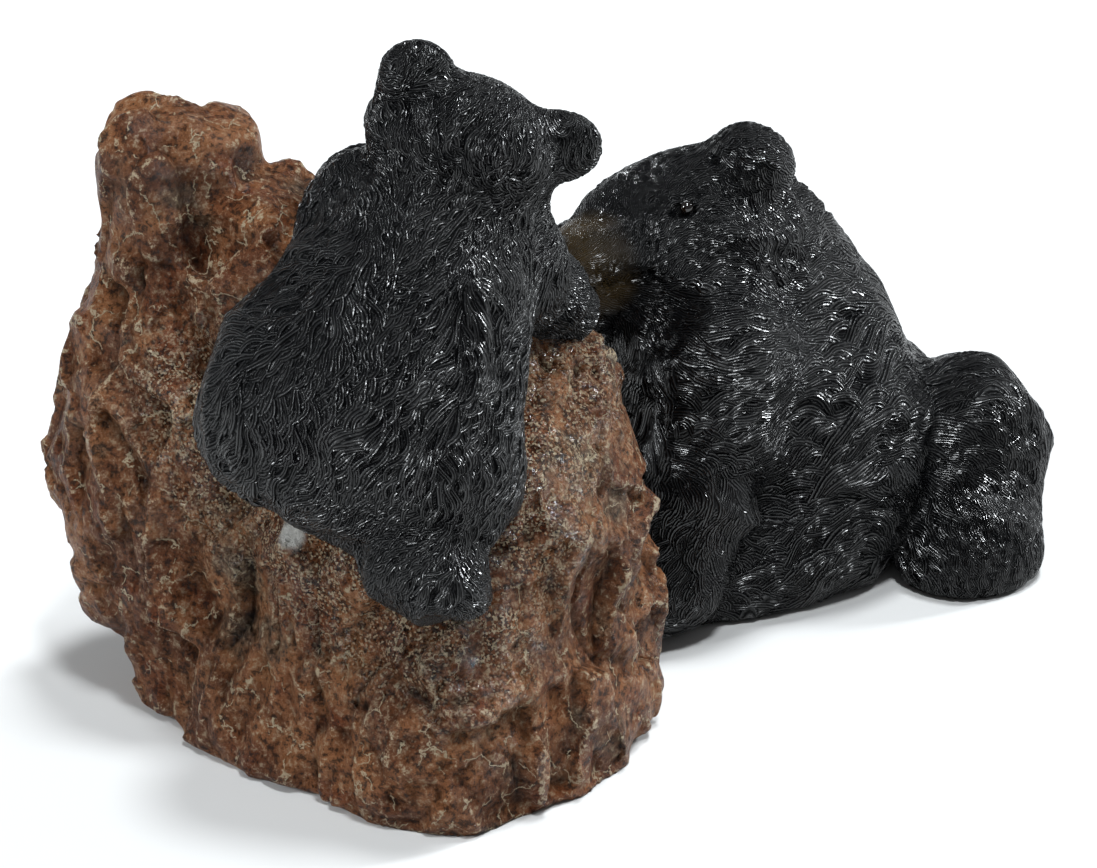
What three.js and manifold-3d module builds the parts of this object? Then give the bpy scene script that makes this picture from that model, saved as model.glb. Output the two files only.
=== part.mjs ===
// Bear garden statue: a mother bear lies against a boulder that her cub is climbing.
// Three painted resin castings, bonded together: the boulder, the mother and the cub.
// Millimetres, +Z up, underside at z = 0. The front looks along +Y; the mother faces +X.
//
// Each casting is a field: a function of a point that gives roughly the distance to its
// surface, negative inside. Rounded masses are joined smoothly, tufts and facets are added
// to the distance, and the surface is then laid over a grid of cells.
import * as THREE from "three";
import { mergeVertices } from "three/addons/utils/BufferGeometryUtils.js";
import { edgeTable, triTable } from "three/addons/objects/MarchingCubes.js";
import Module from "manifold-3d";

// Driving dimensions
const ROCK_CELL = 16;
const MOTHER_CELL = 17.8;
const HEAD_CELL = 11;
const CUB_CELL = 12.5;
const CUB_HEAD_CELL = 8.5;
const BOND_GAP = 0.7;
const FULLNESS = 1;
const MOTHER_MIDPLANE = -45;
const MOTHER_HEAD = 138;
const CUB_HEAD = 100;
const LOCK_LENGTH = 75;
const LOCK_WIDTH = 34;
const LOCK_HEIGHT = 3;
const TUFT_LENGTH = 46;
const TUFT_WIDTH = 22;
const TUFT_HEIGHT = 2.2;
const FACET_SIZE = 58;
const FACET_HEIGHT = 7;

// Points and directions
const rad = THREE.MathUtils.degToRad;
const point = (x, y, z) => new THREE.Vector3(x, y, z);
const MIDDLE = point(15.3, -17.1, 0);

// A frame stands at a point and looks along a direction, rolled about it by an angle.
// Its own x is forward, y is to the left and z is up.
function standing(at, forward, roll) {
  const x = forward.clone().normalize();
  const y = point(0, 0, 1).cross(x).normalize();
  const z = x.clone().cross(y);
  const turned = new THREE.Matrix4().makeBasis(x, y, z);
  turned.multiply(new THREE.Matrix4().makeRotationX(rad(roll)));
  turned.setPosition(at);
  const back = turned.clone().invert();
  const q = point(0, 0, 0);
  return (form) => (p) => form(q.copy(p).applyMatrix4(back));
}

// Forms
function mass(at, radii) {
  return (p) => {
    const x = (p.x - at.x) / radii.x;
    const y = (p.y - at.y) / radii.y;
    const z = (p.z - at.z) / radii.z;
    const near = Math.hypot(x, y, z);
    const slope = Math.hypot(x / radii.x, y / radii.y, z / radii.z);
    return slope < 1e-9 ? -Math.min(radii.x, radii.y, radii.z) : (near * (near - 1)) / slope;
  };
}

function limb(from, to, fromRadius, toRadius) {
  const bone = to.clone().sub(from);
  const length = bone.length();
  return (p) => {
    const x = p.x - from.x;
    const y = p.y - from.y;
    const z = p.z - from.z;
    const along = (x * bone.x + y * bone.y + z * bone.z) / length;
    const t = Math.min(1, Math.max(0, along / length));
    const away = Math.hypot(x - bone.x * t, y - bone.y * t, z - bone.z * t);
    return away - (fromRadius + (toRadius - fromRadius) * t);
  };
}

function joined(softness, ...forms) {
  return (p) => {
    let d = forms[0](p);
    for (let i = 1; i < forms.length; i++) {
      const e = forms[i](p);
      const h = Math.max(softness - Math.abs(d - e), 0) / softness;
      d = Math.min(d, e) - (h * h * softness) / 4;
    }
    return d;
  };
}

function carved(softness, form, tool) {
  return (p) => {
    const d = form(p);
    const e = -tool(p);
    const h = Math.max(softness - Math.abs(d - e), 0) / softness;
    return Math.max(d, e) + (h * h * softness) / 4;
  };
}

// Noise: a repeatable number from -1 to 1 at each corner of a unit lattice, smoothly
// blended between the corners.
function cornerValue(i, j, k) {
  const s = Math.sin(i * 127.1 + j * 311.7 + k * 74.7) * 43758.5453;
  return 2 * (s - Math.floor(s)) - 1;
}

function noise(x, y, z) {
  const i = Math.floor(x);
  const j = Math.floor(y);
  const k = Math.floor(z);
  const soft = (t) => t * t * (3 - 2 * t);
  const u = soft(x - i);
  const v = soft(y - j);
  const w = soft(z - k);
  const mix = THREE.MathUtils.lerp;
  const edge = (b, c) => mix(cornerValue(i, j + b, k + c), cornerValue(i + 1, j + b, k + c), u);
  return mix(mix(edge(0, 0), edge(1, 0), v), mix(edge(0, 1), edge(1, 1), v), w);
}

// Locks of fur: soft ridges, long along the animal and narrow across it.
function furred(form, along, length, width, height) {
  const x = along.clone().normalize();
  const y = point(0, 0, 1).cross(x).normalize();
  const z = x.clone().cross(y);
  return (p) => {
    const bend = 0.35 * noise(p.x / length, p.y / length, p.z / length);
    const lock = noise(
      p.dot(x) / length,
      p.dot(y) / width + bend,
      p.dot(z) / width - bend,
    );
    return form(p) - height * (1 - 2.5 * Math.abs(lock));
  };
}

// Broken rock: sharp crests where the noise changes sign, in two sizes.
function faceted(form, size, height) {
  const crest = (p, s) => 1 - 2.2 * Math.abs(noise(p.x / s + 3.1, p.y / s + 7.7, p.z / s + 1.3));
  return (p) => form(p) - height * (0.65 * crest(p, size) + 0.35 * crest(p, size / 2));
}

// A bear's head in its own frame, nose along +x and crown along +z. Its length runs from
// nape to nose and its breadth across the cheeks.
function bearHead(length, breadth, ear) {
  const s = length / 145;
  const w = breadth / 105;
  const at = (x, y, z) => point(x * s, y * w, z * s);
  const skull = mass(at(-8, 0, 0), at(54, 46, 41));
  const cheeks = [-1, 1].map((side) => mass(at(0, 26 * side, -14), at(36, 27, 32)));
  const brow = mass(at(24, 0, 12), at(32, 32, 24));
  const muzzle = limb(at(34, 0, -6), at(74, 0, -10), 32 * s, 25 * s);
  const jaw = limb(at(22, 0, -30), at(66, 0, -33), 22 * s, 14 * s);
  const nose = mass(at(94, 0, -3), at(9, 14, 10));
  const face = joined(12 * s, joined(16 * s, skull, ...cheeks, brow, muzzle), jaw);
  const ears = [-1, 1].map((side) => {
    const cup = mass(point(ear.back, ear.spread * side, ear.height), ear.radii);
    const mouth = point(ear.back + ear.radii.x, (ear.spread - 6) * side, ear.height + 2);
    const hollow = mass(mouth, ear.radii.clone().multiplyScalar(0.45));
    return carved(3 * s, cup, hollow);
  });
  return joined(14 * s, joined(3 * s, face, nose), ...ears);
}

// The boulder: a broad mound whose back slopes down to the viewer's side, a ridge across
// its front with a tall block at the right end, and steep sides down to the ground.
function boulder() {
  const mound = mass(point(142, 4, 100), point(102, 114, 118));
  const ridge = limb(point(184, -54, 224), point(104, 12, 152), 50, 53);
  const block = limb(point(213, -94, 264), point(221, -93, 120), 33, 60);
  const blockTop = limb(point(221, -97, 285), point(201, -90, 283), 27, 25);
  const shoulder = mass(point(94, 38, 122), point(46, 54, 84));
  const corner = mass(point(178, 78, 30), point(54, 60, 72));
  const rightSide = mass(point(218, -76, 108), point(57, 67, 110));
  const rightFoot = mass(point(208, -20, 24), point(50, 90, 56));
  const backFoot = mass(point(132, 84, 26), point(58, 50, 60));
  const leftFoot = mass(point(92, 36, 30), point(71, 57, 74));
  const core = joined(10, joined(24, mound, ridge, shoulder), joined(18, block, blockTop));
  return joined(20, core, corner, rightSide, rightFoot, backFoot, leftFoot);
}

// The mother: belly down, chest raised against the boulder, hind legs folded beside her.
function motherBear() {
  const mid = MOTHER_MIDPLANE;
  const rump = mass(point(-162, mid + 8, 53), point(62, 66, 62));
  const barrel = mass(point(-111, mid + 5, 94), point(78, 76, 90));
  const belly = mass(point(-84, mid + 8, 22), point(92, 80, 60));
  const chest = mass(point(-66, mid, 112), point(68, 74, 100));
  const neck = limb(point(-92, mid, 168), point(-72, mid, 185), 53, 44);
  const flanks = [-1, 1].map((side) => mass(point(-124, mid + 48 * side, 74), point(52, 44, 72)));
  const body = joined(22, rump, barrel, belly, chest, neck, ...flanks);
  const sides = [-1, 1].map((side) => {
    const y = (offset) => mid + offset * side;
    const shoulder = limb(point(-44, y(50), 140), point(-10, y(58), 36), 44, 33);
    const forearm = limb(point(-10, y(58), 32), point(44, y(58), 22), 30, 24);
    const paw = mass(point(58, y(59), 20), point(34, 27, 20));
    const haunch = mass(point(-202, y(62), 55), point(46, 44, 53));
    const foot = mass(point(-182, y(94), 12), point(40, 34, 34));
    return { fore: joined(12, shoulder, forearm, paw), hind: joined(20, haunch, foot) };
  });
  const fore = joined(14, body, sides[0].fore, sides[1].fore);
  const trunk = joined(7, fore, sides[0].hind, sides[1].hind);
  const head = standing(point(-58, mid + 3, 191), point(0.98, 0.03, 0.19), 36);
  const ear = { back: -19, spread: 43, height: 25, radii: point(22, 25, 20) };
  return joined(18, trunk, head(bearHead(MOTHER_HEAD, 98, ear)));
}

// The cub in its own frame lies along +x with its back up: flat on the slope, arms over
// the ridge, one leg stretched down to a foothold and the other thigh drawn up.
function climbingCub() {
  const hips = mass(point(8, -6, 0), point(60, 72, 52));
  const back = mass(point(54, -6, 2), point(56, 62, 48));
  const shoulders = mass(point(96, -8, 0), point(48, 55, 44));
  const leftThigh = mass(point(8, 44, -10), point(46, 34, 42));
  const rightThigh = limb(point(-20, -44, -4), point(-48, -50, 4), 38, 26);
  const rightFoot = mass(point(-59, -53, 10), point(19, 31, 25));
  const leftArm = limb(point(102, 26, -8), point(122, 30, -48), 30, 20);
  const rightArm = limb(point(104, -38, -12), point(92, -77, -62), 32, 18);
  const trunk = joined(22, hips, back, shoulders, leftThigh, rightThigh);
  const figure = standing(point(210, 58, 190), point(-0.5, -0.23, 0.835), 27);
  const body = figure(joined(9, trunk, rightFoot, leftArm, rightArm));
  const head = standing(point(130, 40, 318), point(-0.35, -0.9, -0.1), 31);
  const ear = { back: -8, spread: 41, height: 15, radii: point(13, 18, 18) };
  return joined(14, body, head(bearHead(CUB_HEAD, 98, ear)));
}

// A grid over a field: cell corners along one axis, coarse, and fine in one stretch.
function corners(low, high, cell, fineLow, fineHigh, fineCell) {
  const places = [low];
  while (places.at(-1) < high) {
    const last = places.at(-1);
    places.push(last + (last >= fineLow && last < fineHigh ? fineCell : cell));
  }
  return places;
}

// The triangles that lie on a field's surface, worked out cell by cell over the grid.
// The corners of a cell are numbered round its lower face and then round its upper one, and
// its edges round the lower face, round the upper face, and up the sides.
const CORNERS = [
  [0, 0, 0],
  [1, 0, 0],
  [1, 1, 0],
  [0, 1, 0],
  [0, 0, 1],
  [1, 0, 1],
  [1, 1, 1],
  [0, 1, 1],
];
const EDGES = [0, 1, 2, 3, 4, 5, 6, 7, 0, 1, 2, 3].map((start, edge) => {
  const end = edge < 8 ? (edge & 4) + ((start + 1) & 3) : start + 4;
  return [start, end];
});

function surface(field, grid) {
  const [nx, ny, nz] = grid.axes.map((axis) => axis.length);
  const [xs, ys, zs] = grid.axes;
  const index = (i, j, k) => i + nx * (j + ny * k);
  const values = new Float32Array(nx * ny * nz);
  const p = point(0, 0, 0);
  for (let k = 0; k < nz; k++)
    for (let j = 0; j < ny; j++)
      for (let i = 0; i < nx; i++) {
        const d = field(p.set(xs[i], ys[j], zs[k]));
        const within = d < 0 && k > 0;
        values[index(i, j, k)] = within ? Math.min(d, -grid.least) : Math.max(d, grid.least);
      }
  const places = [];
  const made = new Map();
  const triangles = [];
  const vertex = (cell, value, [from, to]) => {
    const [a, b] = value[from] < value[to] ? [from, to] : [to, from];
    const low = cell.map((c, n) => c + Math.min(CORNERS[a][n], CORNERS[b][n]));
    const axis = CORNERS[a].findIndex((c, n) => c !== CORNERS[b][n]);
    const key = 3 * index(...low) + axis;
    if (!made.has(key)) {
      const share = value[a] / (value[a] - value[b]);
      made.set(key, places.length / 3);
      cell.forEach((c, n) => {
        const start = grid.axes[n][c + CORNERS[a][n]];
        const end = grid.axes[n][c + CORNERS[b][n]];
        places.push(start + share * (end - start));
      });
    }
    return made.get(key);
  };
  for (let k = 0; k + 1 < nz; k++)
    for (let j = 0; j + 1 < ny; j++)
      for (let i = 0; i + 1 < nx; i++) {
        const value = CORNERS.map(([a, b, c]) => values[index(i + a, j + b, k + c)]);
        const inside = value.reduce((bits, v, n) => bits | (v < 0 ? 1 << n : 0), 0);
        if (edgeTable[inside] === 0) continue;
        for (let t = 16 * inside; triTable[t] >= 0; t += 3)
          for (const corner of [t, t + 2, t + 1])
            triangles.push(vertex([i, j, k], value, EDGES[triTable[corner]]));
      }
  const geometry = new THREE.BufferGeometry();
  geometry.setAttribute("position", new THREE.Float32BufferAttribute(places, 3));
  geometry.setIndex(triangles);
  return geometry;
}

// A form a little fuller, so that flat facets stand round it rather than inside it
const fuller = (form) => (p) => form(p) - FULLNESS;

// Solids, moved so that the origin is under the middle of the whole group
const wasm = await Module();
wasm.setup();

function solid(geometry) {
  geometry.deleteAttribute("normal");
  geometry.deleteAttribute("uv");
  const merged = mergeVertices(geometry, 1e-5);
  return new wasm.Manifold(
    new wasm.Mesh({
      numProp: 3,
      vertProperties: merged.attributes.position.array,
      triVerts: new Uint32Array(merged.index.array),
    }),
  );
}

function largest(cut) {
  return cut.decompose().sort((a, b) => b.volume() - a.volume())[0];
}

function casting(name, made, material) {
  const { vertProperties, triVerts } = made.getMesh();
  const geometry = new THREE.BufferGeometry();
  geometry.setAttribute("position", new THREE.BufferAttribute(vertProperties, 3));
  geometry.setIndex(new THREE.BufferAttribute(triVerts, 1));
  geometry.translate(-MIDDLE.x, -MIDDLE.y, 0);
  geometry.computeVertexNormals();
  const mesh = new THREE.Mesh(geometry, material);
  mesh.name = name;
  return mesh;
}

// The boulder stands alone, the cub is bonded on it, and the mother fits round both.
const rockField = faceted(fuller(boulder()), FACET_SIZE, FACET_HEIGHT);
const motherField = furred(
  fuller(motherBear()),
  point(-0.9, 0.1, -0.42),
  LOCK_LENGTH,
  LOCK_WIDTH,
  LOCK_HEIGHT,
);
const cubField = furred(
  fuller(climbingCub()),
  point(0.5, 0.2, -0.8),
  TUFT_LENGTH,
  TUFT_WIDTH,
  TUFT_HEIGHT,
);

// Each grid is finer round a head than over the rest.
const gridOf = (cell, fineLow, fineHigh, fineCell) => ({
  axes: [
    corners(-300, 320, cell, fineLow.x, fineHigh.x, fineCell),
    corners(-200, 200, cell, fineLow.y, fineHigh.y, fineCell),
    corners(-60, 400, cell, fineLow.z, fineHigh.z, fineCell),
  ],
  least: 0.05 * fineCell,
});
const rockGrid = gridOf(ROCK_CELL, point(0, 0, 0), point(0, 0, 0), ROCK_CELL);
const motherGrid = gridOf(MOTHER_CELL, point(-100, -110, 170), point(60, 20, 290), HEAD_CELL);
const cubGrid = gridOf(CUB_CELL, point(90, -10, 280), point(190, 80, 390), CUB_HEAD_CELL);

// A surface pushed outwards, to leave room for the bonding resin between two castings.
function grown(geometry, gap) {
  const wider = geometry.clone();
  wider.computeVertexNormals();
  const { position, normal } = wider.attributes;
  const p = point(0, 0, 0);
  const n = point(0, 0, 0);
  for (let i = 0; i < position.count; i++) {
    p.fromBufferAttribute(position, i);
    n.fromBufferAttribute(normal, i);
    position.setXYZ(i, ...p.addScaledVector(n, gap).toArray());
  }
  return wider;
}

const rockSurface = surface(rockField, rockGrid);
const cubSurface = surface(cubField, cubGrid);
const motherSurface = surface(motherField, motherGrid);
const ground = solid(new THREE.BoxGeometry(1000, 1000, 400).translate(0, 0, -200));
const rockRoom = solid(grown(rockSurface, BOND_GAP));
const cubRoom = solid(grown(cubSurface, BOND_GAP));
const rock = largest(solid(rockSurface).subtract(ground));
const cub = largest(solid(cubSurface).subtract(rockRoom));
const mother = largest(solid(motherSurface).subtract(ground).subtract(rockRoom).subtract(cubRoom));

const rockPaint = new THREE.MeshStandardMaterial({
  color: 0x8a4a2c,
  roughness: 0.5,
  metalness: 0,
  flatShading: true,
});
const furPaint = new THREE.MeshStandardMaterial({
  color: 0x141517,
  roughness: 0.38,
  metalness: 0,
  flatShading: true,
});

const statue = new THREE.Group();
statue.add(casting("rock", rock, rockPaint));
statue.add(casting("mother_bear", mother, furPaint));
statue.add(casting("cub", cub, furPaint));

export default statue;
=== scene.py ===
# Bear garden statue: the carved and painted surfaces of the three resin castings.
# Each casting is laid over the same rounded masses as the solid that it stands for, and then
# carved: fur in wavy locks on the bears, and chipped facets on the boulder.
import math

import bpy
import numpy as np
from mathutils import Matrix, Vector, kdtree


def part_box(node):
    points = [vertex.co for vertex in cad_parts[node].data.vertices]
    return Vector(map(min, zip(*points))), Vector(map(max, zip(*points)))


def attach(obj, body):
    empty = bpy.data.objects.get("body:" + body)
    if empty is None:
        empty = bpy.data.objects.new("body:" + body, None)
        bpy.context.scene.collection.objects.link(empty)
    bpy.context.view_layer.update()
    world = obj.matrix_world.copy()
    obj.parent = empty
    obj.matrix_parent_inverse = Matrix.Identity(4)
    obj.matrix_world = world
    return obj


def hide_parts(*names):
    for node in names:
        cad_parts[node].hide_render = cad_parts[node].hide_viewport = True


bl_info = {
    "name": "Bear garden statue",
    "version": (1, 0, 0),
    "blender": (4, 5, 0),
    "location": "3D View > Sidebar > Statue",
    "description": "Carves and paints a resin statue of a mother bear, her cub and a boulder",
    "category": "Object",
}

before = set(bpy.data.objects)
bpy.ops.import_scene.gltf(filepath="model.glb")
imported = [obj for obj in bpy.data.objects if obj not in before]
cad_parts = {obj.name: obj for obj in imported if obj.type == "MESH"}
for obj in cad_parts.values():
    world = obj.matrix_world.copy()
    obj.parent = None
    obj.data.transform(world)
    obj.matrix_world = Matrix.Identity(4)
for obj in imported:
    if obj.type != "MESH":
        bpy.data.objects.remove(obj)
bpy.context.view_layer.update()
MM = 0.001
# The forms are written in millimetres from a point of their own. This is where, in it, the
# part's origin lies: on the ground under the middle of the group.
MIDDLE = np.array([15.3, -17.1, 0.0])


def linear(hex_colour):
    """An sRGB colour such as #8a4a2c as the linear colour that Blender works in."""
    channels = [int(hex_colour[i : i + 2], 16) / 255 for i in (1, 3, 5)]
    return tuple(c / 12.92 if c <= 0.04045 else ((c + 0.055) / 1.055) ** 2.4 for c in channels)


# Sizes and colours


def length(name, description, millimetres):
    return bpy.props.FloatProperty(
        name=name, description=description, default=millimetres * MM, min=0.0, unit="LENGTH"
    )


def colour(name, description, hex_colour):
    return bpy.props.FloatVectorProperty(
        name=name,
        description=description,
        default=linear(hex_colour),
        size=3,
        min=0.0,
        max=1.0,
        subtype="COLOR",
    )


class StatueRock(bpy.types.PropertyGroup):
    cell: length("Cell", "Spacing of the first mesh that is laid over the boulder", 4.1)
    facet: length("Facet", "Breadth of a broken facet", 34)
    facet_height: length("Facet height", "How far facets stand from each other", 4.4)
    chip: length("Chip", "Breadth of the small chips between facets", 12)
    chip_height: length("Chip height", "Depth of the small chips", 1.2)
    base: colour("Base", "Red-brown base coat", "#774527")
    clay: colour("Clay", "Lighter clay brown sprayed over the outer faces", "#ac7147")
    orange: colour("Glaze", "Orange-brown glaze that lies in the hollows", "#7d3a14")
    cream: colour("Dry brush", "Cream brushed over the ridges", "#ddcbaa")
    grey: colour("Grey", "Grey patches of bare stone colour", "#6b5d4c")
    crevice: colour("Crevice", "Dark wash in the crevices", "#150b07")
    bare: colour("Bare resin", "White of the resin where the paint has chipped", "#e8e6e0")


class StatueFur(bpy.types.PropertyGroup):
    mother_cell: length("Mother's cell", "Spacing of the first mesh laid over the mother", 4.0)
    cub_cell: length("Cub's cell", "Spacing of the first mesh laid over the cub", 2.65)
    mother_lock: length("Mother's lock", "Length of a lock of her fur", 42)
    cub_lock: length("Cub's lock", "Length of a lock of the cub's fur", 27)
    strand: length("Strand", "Breadth of one carved strand", 2.0)
    black: colour("Black", "Black base coat", "#060607")
    # The greyer, cooler black on the tops of the strands is partly wear and partly a painted
    # highlight
    worn_and_highlight: colour("Worn black", "Greyer black on the tops of the strands", "#0f1114")
    # The muzzle's olive-tan is tan paint kept dark with painted shade, the shade that the
    # mother's muzzle lies in behind the cub
    tan: colour("Muzzle", "Olive-tan brown sprayed over the muzzles", "#41341f")
    eye: colour("Eye", "Dark brown of the eyes", "#0b0604")


class StatueStage(bpy.types.PropertyGroup):
    floor: colour("Floor", "Pale floor", "#d6d6d5")
    light: bpy.props.FloatProperty(
        name="Light", description="Strength of the main light", default=3.0, min=0.0
    )


# Forms: each is a field, a function that gives roughly the distance in millimetres from
# each of a row of points to the form's surface, negative inside


def unit(vectors):
    vectors = np.asarray(vectors, float)
    return vectors / np.maximum(np.linalg.norm(vectors, axis=-1, keepdims=True), 1e-9)


def mass(at, radii):
    at = np.array(at, float)
    radii = np.array(radii, float)

    def field(p):
        q = (p - at) / radii
        near = np.linalg.norm(q, axis=-1)
        slope = np.linalg.norm(q / radii, axis=-1)
        return near * (near - 1) / np.maximum(slope, 1e-9)

    return field


def limb(start, end, start_radius, end_radius):
    start = np.array(start, float)
    bone = np.array(end, float) - start

    def field(p):
        t = np.clip((p - start) @ bone / (bone @ bone), 0, 1)
        away = np.linalg.norm(p - start - t[..., None] * bone, axis=-1)
        return away - (start_radius + (end_radius - start_radius) * t)

    return field


def blended(d, e, softness):
    h = np.maximum(softness - np.abs(d - e), 0) / softness
    return np.minimum(d, e) - h * h * softness / 4


def joined(softness, *forms):
    def field(p):
        d = forms[0](p)
        for form in forms[1:]:
            d = blended(d, form(p), softness)
        return d

    return field


def carved(softness, form, tool):
    return lambda p: -blended(-form(p), tool(p), softness)


class Standing:
    """A frame that stands at a point and looks along a direction, rolled about it."""

    def __init__(self, at, forward, roll):
        x = unit(forward)
        y = unit(np.cross((0, 0, 1), x))
        z = np.cross(x, y)
        c, s = math.cos(math.radians(roll)), math.sin(math.radians(roll))
        self.at = np.array(at, float)
        self.axes = np.array([x, c * y + s * z, c * z - s * y])

    def local(self, p):
        return (p - self.at) @ self.axes.T

    def model(self, q):
        return self.at + np.asarray(q, float) @ self.axes

    def holds(self, form):
        return lambda p: form(self.local(p))


# Noise: a repeatable number from -1 to 1 at each corner of a unit lattice, blended between


def corner_value(i, j, k):
    s = np.sin(i * 127.1 + j * 311.7 + k * 74.7) * 43758.5453
    return 2 * (s - np.floor(s)) - 1


def noise(p):
    low = np.floor(p)
    u, v, w = np.moveaxis((p - low) ** 2 * (3 - 2 * (p - low)), -1, 0)
    i, j, k = np.moveaxis(low, -1, 0)
    total = 0
    for a, share_a in ((0, 1 - u), (1, u)):
        for b, share_b in ((0, 1 - v), (1, v)):
            for c, share_c in ((0, 1 - w), (1, w)):
                total = total + corner_value(i + a, j + b, k + c) * share_a * share_b * share_c
    return total


def furred(form, along, lock_length, width, height):
    x = unit(along)
    y = unit(np.cross((0, 0, 1), x))
    z = np.cross(x, y)

    def field(p):
        bend = 0.35 * noise(p / lock_length)
        lock = noise(
            np.stack([p @ x / lock_length, p @ y / width + bend, p @ z / width - bend], -1)
        )
        return form(p) - height * (1 - 2.5 * np.abs(lock))

    return field


def faceted(form, size, height):
    def crest(p, s):
        return 1 - 2.2 * np.abs(noise(p / s + np.array([3.1, 7.7, 1.3])))

    return lambda p: form(p) - height * (0.65 * crest(p, size) + 0.35 * crest(p, size / 2))


# The three figures, from the same masses as the solids


class BearHead:
    """A bear's head in its own frame, nose along +x and crown along +z."""

    def __init__(self, stand, head_length, breadth, ear, ear_radii):
        self.stand = stand
        self.scale = np.array([head_length, breadth, head_length]) / np.array([145, 105, 145])
        self.s = head_length / 145
        self.ear = ear
        self.ear_radii = np.array(ear_radii, float)

    def at(self, x, y, z):
        return np.array([x, y, z]) * self.scale

    def form(self):
        s, at = self.s, self.at
        skull = mass(at(-8, 0, 0), at(54, 46, 41))
        cheeks = [mass(at(0, 26 * side, -14), at(36, 27, 32)) for side in (-1, 1)]
        brow = mass(at(24, 0, 12), at(32, 32, 24))
        muzzle = limb(at(34, 0, -6), at(74, 0, -10), 32 * s, 25 * s)
        jaw = limb(at(22, 0, -30), at(66, 0, -33), 22 * s, 14 * s)
        nose = mass(at(94, 0, -3), at(9, 14, 10))
        face = joined(12 * s, joined(16 * s, skull, *cheeks, brow, muzzle), jaw)
        ears = []
        for side in (-1, 1):
            back, spread, height = self.ear
            cup = mass((back, spread * side, height), self.ear_radii)
            mouth = (back + self.ear_radii[0], (spread - 6) * side, height + 2)
            hollow = mass(mouth, 0.45 * self.ear_radii)
            ears.append(carved(3 * s, cup, hollow))
        return self.stand.holds(joined(14 * s, joined(3 * s, face, nose), *ears))

    def features(self, form):
        """The head's finer carving: eye sockets, nostrils and the line of the mouth."""
        s, at = self.s, self.at
        tools = [limb(at(98, 0, -13), at(96, 0, -24), 1.3 * s, 1.3 * s)]
        for side in (-1, 1):
            tools.append(mass(at(30, 41 * side, 4), at(8, 4, 3.4)))
            tools.append(mass(at(101, 7 * side, -3), at(5, 3.2, 3.2)))
            tools.append(limb(at(94, 3 * side, -26), at(50, 27 * side, -25), 1.8 * s, 1.5 * s))
        return carved(2 * s, form, self.stand.holds(joined(1.0, *tools)))

    def eyeballs(self, field):
        """Each eye as a small ball that is set a third into the head where its socket is."""
        radius = 3.6 * self.s
        places = np.array([self.stand.model(self.at(30, 41 * side, 4)) for side in (-1, 1)])
        set_on, facing = settle(places, field, 4)
        return [ball(place, radius) for place in set_on - 0.35 * radius * facing]

    def masks(self, p):
        """How much of each point is muzzle, and how much is the bare nose."""
        q = self.stand.local(p) / self.scale
        snout = limb((70, 0, -12), (96, 0, -14), 24, 26)
        muzzle = soft_step(-snout(q), -9, 3)
        nose = soft_step(-mass((95, 0, -3), (10, 15, 11))(q), -2.5, 1.0)
        return muzzle, nose


def soft_step(value, low, high):
    t = np.clip((value - low) / (high - low), 0, 1)
    return t * t * (3 - 2 * t)


def boulder():
    mound = mass((142, 4, 100), (102, 114, 118))
    ridge = limb((184, -54, 224), (104, 12, 152), 50, 53)
    block = limb((213, -94, 264), (221, -93, 120), 33, 60)
    block_top = limb((221, -97, 285), (201, -90, 283), 27, 25)
    shoulder = mass((94, 38, 122), (46, 54, 84))
    corner = mass((178, 78, 30), (54, 60, 72))
    right_side = mass((218, -76, 108), (57, 67, 110))
    right_foot = mass((208, -20, 24), (50, 90, 56))
    back_foot = mass((132, 84, 26), (58, 50, 60))
    left_foot = mass((92, 36, 30), (71, 57, 74))
    core = joined(10, joined(24, mound, ridge, shoulder), joined(18, block, block_top))
    return joined(20, core, corner, right_side, right_foot, back_foot, left_foot)


MOTHER_MIDPLANE = -45
MOTHER_HEAD = BearHead(
    stand=Standing(at=(-58, MOTHER_MIDPLANE + 3, 191), forward=(0.98, 0.03, 0.19), roll=36),
    head_length=138,
    breadth=98,
    ear=(-19, 43, 25),
    ear_radii=(22, 25, 20),
)
CUB_BODY = Standing(at=(210, 58, 190), forward=(-0.5, -0.23, 0.835), roll=27)
CUB_HEAD = BearHead(
    stand=Standing(at=(130, 40, 318), forward=(-0.35, -0.9, -0.1), roll=31),
    head_length=100,
    breadth=98,
    ear=(-8, 41, 15),
    ear_radii=(13, 18, 18),
)


def mother_bear():
    mid = MOTHER_MIDPLANE
    rump = mass((-162, mid + 8, 53), (62, 66, 62))
    barrel = mass((-111, mid + 5, 94), (78, 76, 90))
    belly = mass((-84, mid + 8, 22), (92, 80, 60))
    chest = mass((-66, mid, 112), (68, 74, 100))
    neck = limb((-92, mid, 168), (-72, mid, 185), 53, 44)
    flanks = [mass((-124, mid + 48 * side, 74), (52, 44, 72)) for side in (-1, 1)]
    body = joined(22, rump, barrel, belly, chest, neck, *flanks)
    fore = []
    hind = []
    for side in (-1, 1):
        shoulder = limb((-44, mid + 50 * side, 140), (-10, mid + 58 * side, 36), 44, 33)
        forearm = limb((-10, mid + 58 * side, 32), (44, mid + 58 * side, 22), 30, 24)
        paw = mass((58, mid + 59 * side, 20), (34, 27, 20))
        haunch = mass((-202, mid + 62 * side, 55), (46, 44, 53))
        foot = mass((-182, mid + 94 * side, 12), (40, 34, 34))
        fore.append(joined(12, shoulder, forearm, paw))
        hind.append(joined(20, haunch, foot))
    trunk = joined(7, joined(14, body, *fore), *hind)
    return joined(18, trunk, MOTHER_HEAD.form())


def climbing_cub():
    hips = mass((8, -6, 0), (60, 72, 52))
    back = mass((54, -6, 2), (56, 62, 48))
    shoulders = mass((96, -8, 0), (48, 55, 44))
    left_thigh = mass((8, 44, -10), (46, 34, 42))
    right_thigh = limb((-20, -44, -4), (-48, -50, 4), 38, 26)
    right_foot = mass((-59, -53, 10), (19, 31, 25))
    left_arm = limb((102, 26, -8), (122, 30, -48), 30, 20)
    right_arm = limb((104, -38, -12), (92, -77, -62), 32, 18)
    trunk = joined(22, hips, back, shoulders, left_thigh, right_thigh)
    body = CUB_BODY.holds(joined(9, trunk, right_foot, left_arm, right_arm))
    return joined(14, body, CUB_HEAD.form())


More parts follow.
